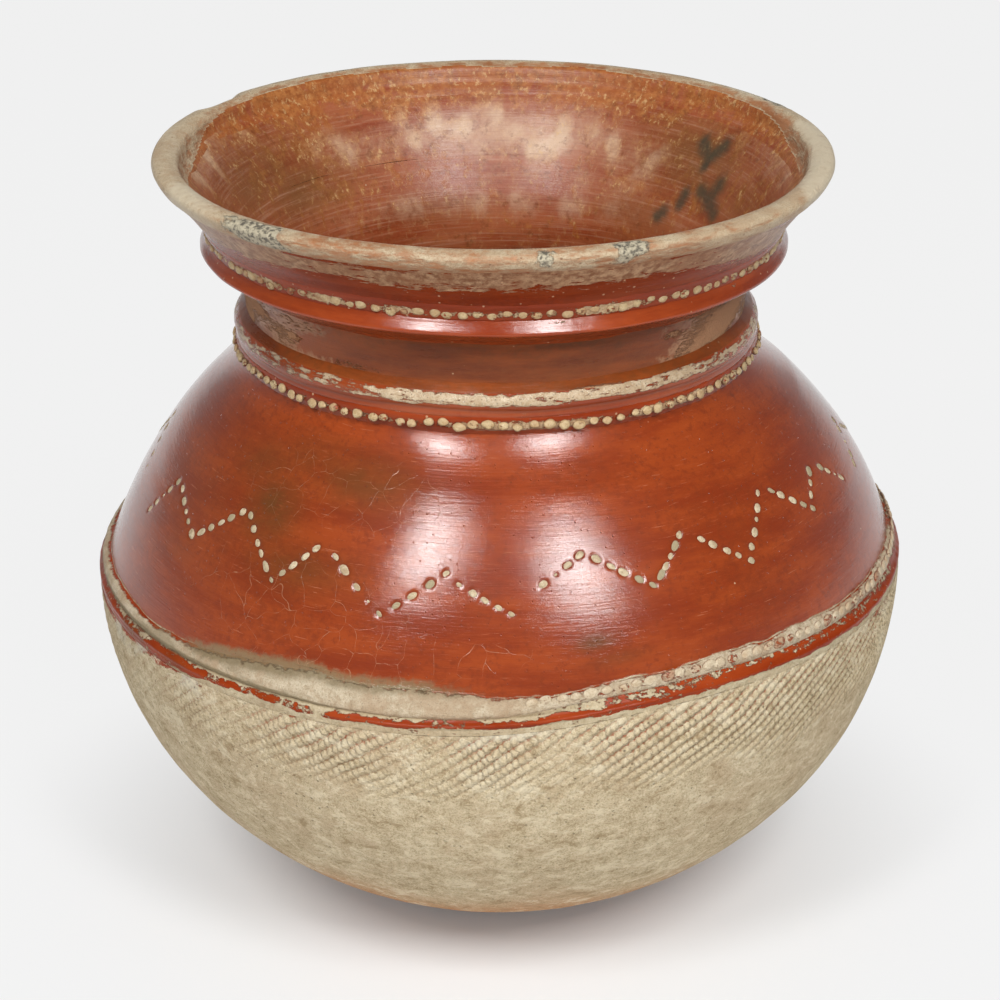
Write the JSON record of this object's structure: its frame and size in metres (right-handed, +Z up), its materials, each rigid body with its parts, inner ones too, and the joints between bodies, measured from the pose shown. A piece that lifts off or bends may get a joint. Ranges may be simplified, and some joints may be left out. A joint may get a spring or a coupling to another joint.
{
  "type": "terracotta jar",
  "caption": "Hand-built round-bottomed terracotta jar with a domed shoulder, waisted neck, flared mouth and beaded ridges, for holding water, grain or gifts.",
  "frame": {"origin": "centre of the flat rest under the bowl", "axes": "+Z up along the axis of the jar, out of its mouth; -Y is the side that faces the viewer"},
  "size_m": [0.379, 0.379, 0.3568],
  "materials": {
    "grit_buff": "rough gritty terracotta with rouletted rows",
    "burnished_red": "red slip burnished to a gloss",
    "brushed_red": "brushed red-brown slip, half matt",
    "worn_kaolin": "matt cream clay, worn"
  },
  "bodies": {
    "root": {"base_bowl": "grit_buff", "shoulder_wall": "burnished_red", "neck_wall": "brushed_red", "mouth_flare": "brushed_red", "rim_lip": "worn_kaolin", "upper_ridge": "brushed_red", "upper_bead_row": "brushed_red", "lower_ridge": "worn_kaolin", "lower_bead_row": "brushed_red", "belly_bead_fillet": "worn_kaolin", "belly_red_ridge": "burnished_red"}
  },
  "joints": []
}
